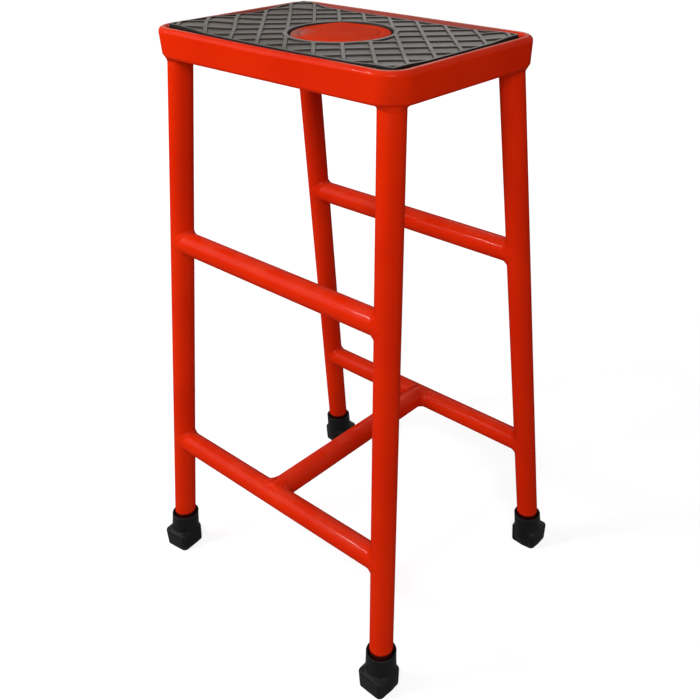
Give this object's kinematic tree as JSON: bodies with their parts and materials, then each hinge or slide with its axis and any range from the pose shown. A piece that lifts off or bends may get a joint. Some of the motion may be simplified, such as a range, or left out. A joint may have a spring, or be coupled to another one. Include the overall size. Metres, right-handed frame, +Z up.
{
  "type": "metal stool",
  "caption": "Tall welded tube stool with splayed legs, a pressed rectangular seat pan, a ribbed rubber seat mat and rubber feet.",
  "frame": {"origin": "centre of the seat, dropped to the floor under the feet", "axes": "+Z up; +X along the long side of the seat; +Y along its short side, away from the front"},
  "size_m": [0.367, 0.322, 0.633],
  "materials": {
    "red_paint": "gloss",
    "mat_rubber": "satin",
    "foot_rubber": "matte"
  },
  "bodies": {
    "root": {"seat_pan": "red_paint", "seat_mat": "mat_rubber", "leg_front_left": "red_paint", "leg_front_right": "red_paint", "leg_back_left": "red_paint", "leg_back_right": "red_paint", "rail_upper_front": "red_paint", "rail_upper_back": "red_paint", "rail_lower_front": "red_paint", "rail_lower_back": "red_paint", "centre_stretcher": "red_paint", "foot_front_left": "foot_rubber", "foot_front_right": "foot_rubber", "foot_back_left": "foot_rubber", "foot_back_right": "foot_rubber", "weld_seat_front_left": "red_paint", "weld_seat_front_right": "red_paint", "weld_seat_back_left": "red_paint", "weld_seat_back_right": "red_paint", "weld_upper_front_left": "red_paint", "weld_upper_front_right": "red_paint", "weld_upper_back_left": "red_paint", "weld_upper_back_right": "red_paint", "weld_lower_front_left": "red_paint", "weld_lower_front_right": "red_paint", "weld_lower_back_left": "red_paint", "weld_lower_back_right": "red_paint", "weld_stretcher_front": "red_paint", "weld_stretcher_back": "red_paint"}
  },
  "joints": []
}
